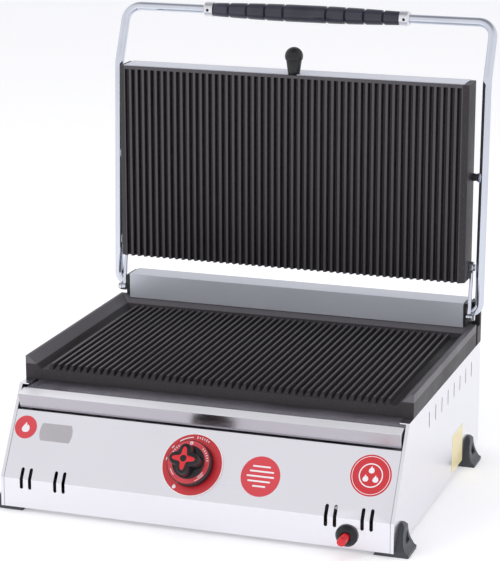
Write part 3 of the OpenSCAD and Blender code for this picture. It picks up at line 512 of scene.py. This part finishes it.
def knob_pieces():
    lift = 3.4 * MM                                  # gap between the panel and the skirt
    skirt_top = 12 * MM
    ring_top = 12.15 * MM
    ink = 0.06 * MM
    m = panel_frame(KNOB, lift)
    base = KNOB + OUT * lift
    skirt = [(0, 8), (24, 8), (24, 0), (27.5, 0), (28, 0.6), (27.4, 11), (27.1, 11.7), (26.4, 12), (0, 12)]
    lathe("knob_skirt", [(r * MM, h * MM) for r, h in skirt], base, OUT, MATS["black_plastic"], "knob",
          "gas_knob", 96)
    lobes = petal(12.2, 19.0, 0.62)
    bm = bmesh.new()
    swell = [(11.9, 1.6), (12.6, 0.6), (13.6, 0.1), (16, 0), (29.6, -0.3), (30.8, -0.6), (31.6, -1.3),
             (32, -2.4)]                             # height, and growth over the lobes' outline
    loft(bm, [polar_ring(m, lambda a, g=grow: lobes(a) + g * MM, h * MM) for h, grow in swell])
    from_bmesh("knob_lobes", bm, MATS["black_plastic"], "knob", "gas_knob", 50)
    star = petal(6.2, 14.4, 1.9)
    bm = bmesh.new()
    loft(bm, [polar_ring(m, star, 31.6 * MM), polar_ring(m, star, 32.3 * MM),
              polar_ring(m, lambda a: star(a) - 0.3 * MM, 32.5 * MM)])
    from_bmesh("knob_star", bm, MATS["red_plastic"], "knob", "knob_insert", 50)
    dot = [(0, 32.3), (4, 32.3), (4, 32.8), (3.6, 33), (0, 33)]
    lathe("knob_dot", [(r * MM, h * MM) for r, h in dot], base, OUT, MATS["black_plastic"], "knob",
          "knob_insert", 48)
    bm = bmesh.new()
    ring_shape(bm, 20.6 * MM, 26.3 * MM, panel_frame(KNOB, lift + skirt_top), 0.15 * MM, steps=96)
    from_bmesh("knob_ring", bm, PINK_INK, "knob", "knob_insert")
    top = panel_frame(KNOB, lift + ring_top)
    bm = bmesh.new()
    at = top @ Matrix.Translation((0, 23.4 * MM, 0))
    ring_shape(bm, 0.9 * MM, 2.0 * MM, at, ink, steps=24)
    for a1, a2, r in ((-62, -32, 24.6), (-50, -28, 22.4), (205, 228, 23.4)):
        ring_shape(bm, (r - 0.4) * MM, (r + 0.4) * MM, top, ink, math.radians(a1), math.radians(a2), 96)
    for a1, a2 in ((10, 48), (130, 168)):
        for i in range(6):
            tick(bm, 23.6 * MM, math.radians(a1 + (a2 - a1) * i / 5), 2.4 * MM, 0.9 * MM, top, ink)
    from_bmesh("knob_marks", bm, WHITE_INK, "knob", "knob_insert")


def dial_pieces():
    thick = 0.5 * MM
    edge = 39 * MM
    ink = 0.08 * MM
    bm = bmesh.new()
    ring_shape(bm, 6 * MM, edge, panel_frame(KNOB), thick, steps=128)
    from_bmesh("dial_disc", bm, RED_INK, "base", "dial_plate")
    top = panel_frame(KNOB, thick)
    bm = bmesh.new()
    ring_shape(bm, 37.5 * MM, edge, top, 0.1 * MM, steps=128)
    for a1, a2 in ((97, 127), (142, 149), (170, 176)):
        ring_shape(bm, 33.2 * MM, 34.4 * MM, top, ink, math.radians(a1), math.radians(a2), 128)
    for i in range(6):
        length = 3.4 if i % 2 else 2.2
        tick(bm, 33.8 * MM, math.radians(62 + 5.2 * i), length * MM, 1.1 * MM, top, ink)
    a = math.radians(237)
    flat_shape(bm, flame(6 * MM, 33.4 * MM * math.cos(a), 33.4 * MM * math.sin(a)), top, ink)
    from_bmesh("dial_marks", bm, WHITE_INK, "base", "dial_plate")


def igniter_pieces():
    lo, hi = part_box("igniter_collar")
    mid = Vector(((lo[0] + hi[0]) / 2, hi[1], (lo[2] + hi[2]) / 2))
    front = (0, -1, 0)
    profile = [(5.7, 3), (5.7, 7.4), (6.4, 8), (8.6, 8), (9.6, 7.5), (13.0, 3.6), (13.5, 2.9), (13.5, 0.2),
               (13.3, 0), (8.3, 0), (8.3, 3), (5.7, 3)]
    lathe("igniter_ring", [(r * MM, h * MM) for r, h in profile], mid, front, MATS["black_plastic"], "base",
          "igniter_collar")
    tip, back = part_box("igniter_button")
    reach = mid.y - tip[1]
    tail = mid.y - back[1]
    r = (back[0] - tip[0]) / 2
    lathe("igniter_cap", [(0, tail), (r, tail), (r, reach - 1.4 * MM), (r - 0.4 * MM, reach - 0.5 * MM),
                          (r - 1.3 * MM, reach), (0, reach)],
          mid, front, MATS["red_plastic"], "button", "igniter_button", 48, 50)


def lid_knob_piece():
    lo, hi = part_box("lid_knob")
    top = Vector(((lo[0] + hi[0]) / 2, (lo[1] + hi[1]) / 2, hi[2]))
    ball_r = 12
    turns = [math.radians(a) for a in range(112, 0, -7)]
    ball = [(ball_r * math.sin(a), -ball_r + ball_r * math.cos(a)) for a in turns]
    cone = [(0, -42.5), (2.9, -42.5), (2.9, -36), (7.2, -36), (7.6, -35.5), (10.3, -17.4), (10.1, -16.9),
            (10.4, -16.5)]
    lathe("lid_knob_turned", [(r * MM, h * MM) for r, h in cone + ball + [(0, 0)]], top, (0, 0, 1),
          MATS["black_plastic"], "upper", "lid_knob", 64, 40)


def grip_piece():
    lo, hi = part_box("handle_grip")
    mid = (Vector(lo) + Vector(hi)) / 2
    half = (hi[0] - lo[0]) / 2 / MM
    grooves = [k * half for k in (0.83, 0.63, 0.43, 0.23)]

    def radius(x):
        """A long swell from 9 to 11.5 mm, cut by steep-sided grooves with sloping shoulders."""
        t = 1 - abs(x) / half
        r = 9 + 2.5 * math.sin(math.pi / 2 * min(1, t * 1.15))
        near = min(abs(abs(x) - g) for g in grooves)
        return r - 2.0 * max(0.0, 1 - near / 1.6) ** 0.5 - 0.35 * max(0.0, 1 - near / 4.5)

    offsets = (-4.5, -3, -1.8, -1.7, -1.3, -0.7, 0, 0.7, 1.3, 1.7, 1.8, 3, 4.5)
    by_grooves = {round(side * g + d, 3) for g in grooves for side in (-1, 1) for d in offsets}
    evenly = {round(-half + 1.5 + (2 * half - 3) * i / 40, 3) for i in range(41)}
    body = [(radius(x), x) for x in sorted(by_grooves | evenly)]
    end = [(8.6, half - 0.5), (7.8, half), (6.05, half - 0.4)]
    profile = [(r, -x) for r, x in end[::-1]] + body + end
    lathe("grip_turned", [(r * MM, h * MM) for r, h in profile], mid, (1, 0, 0), MATS["grip"], "handle",
          "handle_grip", 64, 60)


# ---------------------------------------------------------------- stickers
def sticker_part(name, x, z, material, build, lift=0.0, thick=0.3 * MM):
    bm = bmesh.new()
    build(bm, panel_frame(on_panel(x * MM, z * MM), lift), thick)
    from_bmesh(name, bm, material, "base", "labels")


def plate(*outlines):
    """Builder of flat plates with those outlines, in mm."""
    def build(bm, m, thick):
        for outline in outlines:
            flat_shape(bm, [(x * MM, y * MM) for x, y in outline], m, thick)
    return build


def rings(*pairs):
    """Builder of flat rings between those pairs of radii, in mm."""
    def build(bm, m, thick):
        for r1, r2 in pairs:
            ring_shape(bm, r1 * MM, r2 * MM, m, thick, steps=80)
    return build


def barrel(w, h, bulge):
    """A w by h rectangle whose two upright sides swell by bulge."""
    side = [(w / 2 + bulge * (1 - (2 * i / 8 - 1) ** 2), -h / 2 + h * i / 8) for i in range(9)]
    return side + [(-x, -y) for x, y in side]


def stickers():
    ink = 0.3 * MM
    thin = 0.06 * MM
    left, middle, right = (-230, 98.5), (80, 75), (213.5, 89)       # x and height, mm
    sticker_part("sticker_left", *left, PINK_INK, plate(circle(14.5)))
    sticker_part("sticker_left_mark", *left, WHITE_INK, plate(flame(13)), ink, thin)
    sticker_part("nameplate", -189, 95.5, FOIL, plate(barrel(38, 22, 2.6)))
    sticker_part("sticker_middle", *middle, PINK_INK, plate(circle(24.5)))
    lines = ((0, 22), (1, 30), (0, 34), (-1, 28), (0, 16))          # shift and width of each row, mm
    rows = [bar(dx, 12 - 6 * i, w, 2.0) for i, (dx, w) in enumerate(lines)]
    sticker_part("sticker_middle_rows", *middle, WHITE_INK, plate(*rows), ink, thin)
    sticker_part("sticker_right", *right, RED_INK, plate(circle(25)))
    sticker_part("sticker_right_rings", *right, WHITE_INK, rings((22.4, 23.1), (13.2, 14.6)), ink, thin)
    petals = [flame(9, 7 * math.cos(a), 7 * math.sin(a)) for a in (math.radians(d) for d in (90, 210, 330))]
    sticker_part("sticker_right_mark", *right, WHITE_INK, plate(*petals), ink, thin)

    side_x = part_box("side_panel_right")[1][0]
    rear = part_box("foot_rear_right")[0][1]
    wide = 54 * MM
    at = Vector((side_x, rear - 2 * MM - wide / 2, 35 * MM))
    side = Matrix((Vector((0, 1, 0)), Vector((0, 0, 1)), Vector((1, 0, 0)))).transposed().to_4x4()
    side.translation = at
    bm = bmesh.new()
    flat_shape(bm, bar(0, 0, wide, 50 * MM), side, ink)
    from_bmesh("side_label", bm, YELLOW_INK, "base", "labels")
    side.translation = at + Vector((ink, 0, 0))
    bm = bmesh.new()
    for i in range(13):
        w = (46 if i % 4 else 30) * MM
        flat_shape(bm, bar(-23 * MM + w / 2, (20.5 - 3.3 * i) * MM, w, 0.9 * MM), side, thin)
    from_bmesh("side_label_rows", bm, ORANGE_INK, "base", "labels")


knob_pieces()
dial_pieces()
igniter_pieces()
lid_knob_piece()
grip_piece()
stickers()
SMALL_EDGES = {"grip_collars": 0.7, "stud_sockets": 0.3, "shaft_collars": 0.5, "link_bolts": 0.3}
for node, width in SMALL_EDGES.items():
    softened(node, width * MM)


# ---------------------------------------------------------------- floor and light
def add_floor():
    bm = bmesh.new()
    bmesh.ops.create_grid(bm, x_segments=1, y_segments=1, size=6)
    me = bpy.data.meshes.new("floor")
    bm.to_mesh(me)
    bm.free()
    m = Mat("floor", (0.93, 0.93, 0.94), 0.7, Emission_Color=(1, 1, 1, 1), Emission_Strength=0.22)
    m.roughen(m.noise(3, 3), 0.65, 0.8)
    me.materials.append(m.mat)
    ob = bpy.data.objects.new("floor", me)
    bpy.context.collection.objects.link(ob)


def add_area(name, at, to, size, power):
    """A lamp that lights the object but does not show in its reflections."""
    data = bpy.data.lights.new(name, "AREA")
    data.shape = "RECTANGLE"
    data.size, data.size_y = size
    data.energy = power
    ob = bpy.data.objects.new(name, data)
    ob.location = at
    ob.rotation_euler = (Vector(to) - Vector(at)).to_track_quat("-Z", "Y").to_euler()
    ob.visible_glossy = False
    bpy.context.collection.objects.link(ob)


def add_world():
    world = bpy.data.worlds.new("studio")
    world.use_nodes = True
    bpy.context.scene.world = world
    nt = world.node_tree
    bg = nt.nodes["Background"]
    bg.inputs["Strength"].default_value = 1.0
    coords = nt.nodes.new("ShaderNodeTexCoord")
    parts = nt.nodes.new("ShaderNodeSeparateXYZ")
    ramp = nt.nodes.new("ShaderNodeValToRGB")
    nt.links.new(coords.outputs["Generated"], parts.inputs["Vector"])
    nt.links.new(parts.outputs["Z"], ramp.inputs["Fac"])
    nt.links.new(ramp.outputs["Color"], bg.inputs["Color"])
    e = ramp.color_ramp.elements
    e[0].position, e[0].color = 0.0, (0.97, 0.97, 1.0, 1)
    e[1].position, e[1].color = 1.0, (0.30, 0.30, 0.34, 1)
    for pos, v in ((0.45, 0.97), (0.72, 0.86), (0.85, 0.5)):
        e.new(pos).color = (v, v, v * 1.03, 1)


add_floor()
add_world()
add_area("key", (-1.6, -1.8, 2.4), (0, 0, 0.25), (1.6, 1.6), 16)
add_area("fill", (2.2, -1.2, 1.6), (0, 0, 0.25), (1.4, 1.8), 5)
add_area("top", (0, 0.2, 2.6), (0, 0, 0.2), (2.0, 2.0), 12)
bpy.context.scene.view_settings.view_transform = "Standard"
